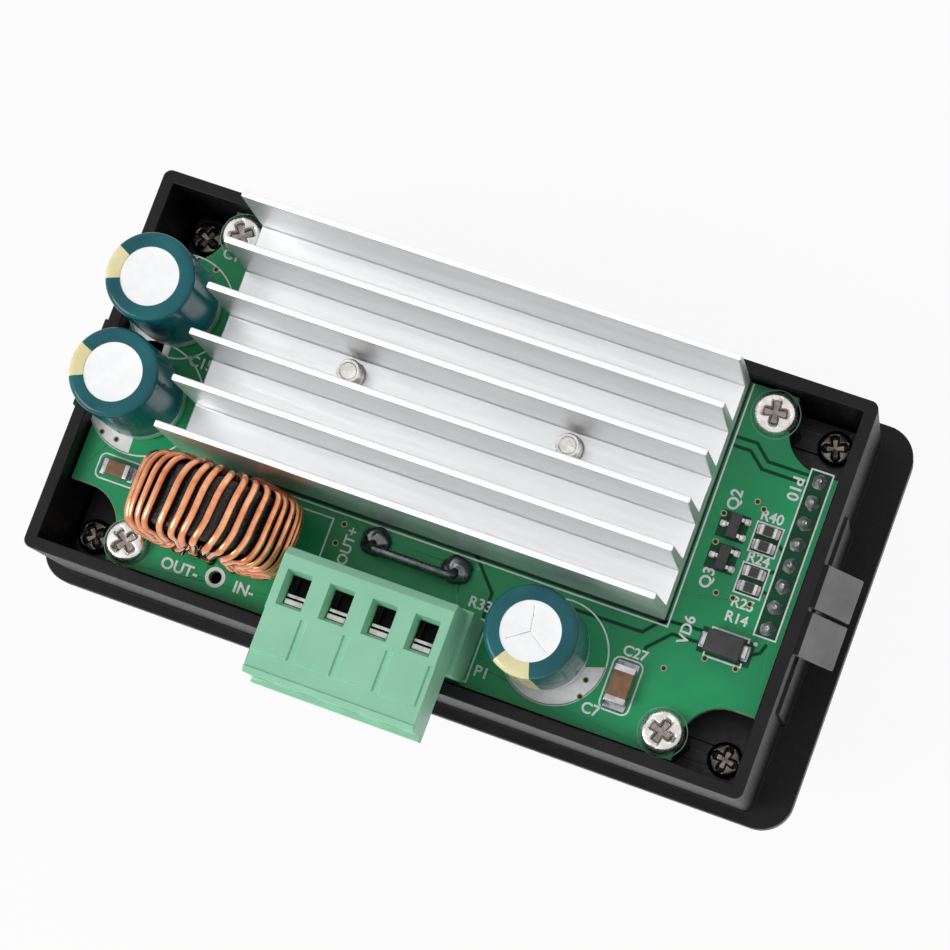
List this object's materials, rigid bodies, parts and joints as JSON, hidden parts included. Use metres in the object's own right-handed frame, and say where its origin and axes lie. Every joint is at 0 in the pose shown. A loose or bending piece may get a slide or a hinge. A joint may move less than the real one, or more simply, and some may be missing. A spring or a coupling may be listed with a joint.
{
  "type": "buck converter module",
  "caption": "Panel-mounted step-down converter with finned heatsink, toroidal inductor, pluggable terminal, display, keys and encoder in a snap-in case.",
  "frame": {"origin": "centre of the case, in the plane of the rear face of the bezel, which meets the face of the panel", "axes": "+Z out of the back of the module, away from the panel; +X along its length, towards the link header; +Y across it, away from the terminal"},
  "size_m": [0.0969, 0.0553, 0.053],
  "materials": {
    "black_case": "fine-textured satin black",
    "clear_lens": "smoked clear",
    "display_glass": "dark gloss",
    "white_frame": "matt",
    "green_board": "glossy solder mask",
    "dark_board": "glossy solder mask",
    "black_epoxy": "matt moulded epoxy",
    "switch_plastic": "satin",
    "key_plastic": "satin grey",
    "nickel_steel": "nickel plated",
    "brass": "turned",
    "aluminium": "brushed extrusion",
    "thermal_rubber": "matt grey",
    "header_black": "satin",
    "tin_pin": "tinned",
    "solder": "cooled solder",
    "can_metal": "bright drawn",
    "sleeve": "shrunk film",
    "bung": "matt",
    "ferrite": "coated",
    "copper": "enamelled copper wire",
    "shunt_metal": "dull alloy wire",
    "mint_plastic": "satin mint green",
    "ceramic_brown": "fired",
    "chip_black": "glazed"
  },
  "bodies": {
    "module": {"shell_with_bezel": "black_case", "display_window": "clear_lens", "display_module": "display_glass", "display_frame": "white_frame", "control_board": "dark_board", "control_chips": "black_epoxy", "key_switches": "switch_plastic", "encoder_body": "nickel_steel", "case_screws": "nickel_steel", "board_screws": "nickel_steel", "spacer_screws": "nickel_steel", "board_spacers": "header_black", "power_board": "green_board", "driver_chips": "black_epoxy", "link_header": "header_black", "link_socket": "header_black", "link_pins": "tin_pin", "link_solder": "solder", "thermal_pad": "thermal_rubber", "heatsink": "aluminium", "power_transistors": "black_epoxy", "heatsink_screws": "nickel_steel", "capacitor_cans": "can_metal", "capacitor_sleeves": "sleeve", "capacitor_bungs": "bung", "capacitor_leads": "tin_pin", "inductor_core": "ferrite", "inductor_winding": "copper", "current_shunt": "shunt_metal", "shunt_solder": "solder", "terminal_header": "mint_plastic", "terminal_pins": "tin_pin", "ceramic_capacitors": "ceramic_brown", "chip_resistors": "chip_black", "small_transistors": "black_epoxy", "smd_diode": "black_epoxy"},
    "key_1": {"key_cap_1": "key_plastic", "switch_plunger_1": "switch_plastic"},
    "key_2": {"key_cap_2": "key_plastic", "switch_plunger_2": "switch_plastic"},
    "key_3": {"key_cap_3": "key_plastic", "switch_plunger_3": "switch_plastic"},
    "key_4": {"key_cap_4": "key_plastic", "switch_plunger_4": "switch_plastic"},
    "encoder_push": {"encoder_plunger": "white_frame"},
    "encoder_knob_set": {"encoder_shaft": "nickel_steel", "encoder_knob": "black_case"},
    "plug": {"terminal_plug": "mint_plastic", "plug_contacts": "tin_pin"},
    "clamp_screw_1": {"plug_screw_1": "nickel_steel"},
    "clamp_cage_1": {"plug_clamp_1": "tin_pin"},
    "clamp_screw_2": {"plug_screw_2": "nickel_steel"},
    "clamp_cage_2": {"plug_clamp_2": "tin_pin"},
    "clamp_screw_3": {"plug_screw_3": "nickel_steel"},
    "clamp_cage_3": {"plug_clamp_3": "tin_pin"},
    "clamp_screw_4": {"plug_screw_4": "nickel_steel"},
    "clamp_cage_4": {"plug_clamp_4": "tin_pin"}
  },
  "joints": [
    {"name": "key_1_press", "type": "slide", "parent": "module", "child": "key_1", "axis": [0, 0, 1], "range_m": [0, 0.0003], "stiffness_N_per_m": 2000, "springref_m": -0.0002},
    {"name": "key_2_press", "type": "slide", "parent": "module", "child": "key_2", "axis": [0, 0, 1], "range_m": [0, 0.0003], "stiffness_N_per_m": 2000, "springref_m": -0.0002},
    {"name": "key_3_press", "type": "slide", "parent": "module", "child": "key_3", "axis": [0, 0, 1], "range_m": [0, 0.0003], "stiffness_N_per_m": 2000, "springref_m": -0.0002},
    {"name": "key_4_press", "type": "slide", "parent": "module", "child": "key_4", "axis": [0, 0, 1], "range_m": [0, 0.0003], "stiffness_N_per_m": 2000, "springref_m": -0.0002},
    {"name": "encoder_push_slide", "type": "slide", "parent": "module", "child": "encoder_push", "axis": [0, 0, 1], "range_m": [0, 0.0005], "stiffness_N_per_m": 2500, "springref_m": -0.0002},
    {"name": "encoder_turn", "type": "hinge", "parent": "encoder_push", "child": "encoder_knob_set", "pos_m": [-0.0325, 0.0088, -0.01], "axis": [0, 0, 1], "continuous": true},
    {"name": "plug_pull", "type": "slide", "parent": "module", "child": "plug", "axis": [0, 0, 1], "range_m": [0, 0.012]},
    {"name": "clamp_screw_1_turn", "type": "hinge", "parent": "plug", "child": "clamp_screw_1", "pos_m": [-0.00864, -0.027, 0.0298], "axis": [0, 1, 0], "range_deg": [0, 2160]},
    {"name": "clamp_cage_1_rise", "type": "slide", "parent": "plug", "child": "clamp_cage_1", "axis": [0, -1, 0], "range_m": [0, 0.003]},
    {"name": "clamp_screw_2_turn", "type": "hinge", "parent": "plug", "child": "clamp_screw_2", "pos_m": [-0.00356, -0.027, 0.0298], "axis": [0, 1, 0], "range_deg": [0, 2160]},
    {"name": "clamp_cage_2_rise", "type": "slide", "parent": "plug", "child": "clamp_cage_2", "axis": [0, -1, 0], "range_m": [0, 0.003]},
    {"name": "clamp_screw_3_turn", "type": "hinge", "parent": "plug", "child": "clamp_screw_3", "pos_m": [0.00152, -0.027, 0.0298], "axis": [0, 1, 0], "range_deg": [0, 2160]},
    {"name": "clamp_cage_3_rise", "type": "slide", "parent": "plug", "child": "clamp_cage_3", "axis": [0, -1, 0], "range_m": [0, 0.003]},
    {"name": "clamp_screw_4_turn", "type": "hinge", "parent": "plug", "child": "clamp_screw_4", "pos_m": [0.0066, -0.027, 0.0298], "axis": [0, 1, 0], "range_deg": [0, 2160]},
    {"name": "clamp_cage_4_rise", "type": "slide", "parent": "plug", "child": "clamp_cage_4", "axis": [0, -1, 0], "range_m": [0, 0.003]}
  ],
  "couplings": [
    {"joint": "clamp_screw_1_turn", "follows": "clamp_cage_1_rise", "rad_per_m": 12566},
    {"joint": "clamp_screw_2_turn", "follows": "clamp_cage_2_rise", "rad_per_m": 12566},
    {"joint": "clamp_screw_3_turn", "follows": "clamp_cage_3_rise", "rad_per_m": 12566},
    {"joint": "clamp_screw_4_turn", "follows": "clamp_cage_4_rise", "rad_per_m": 12566}
  ]
}
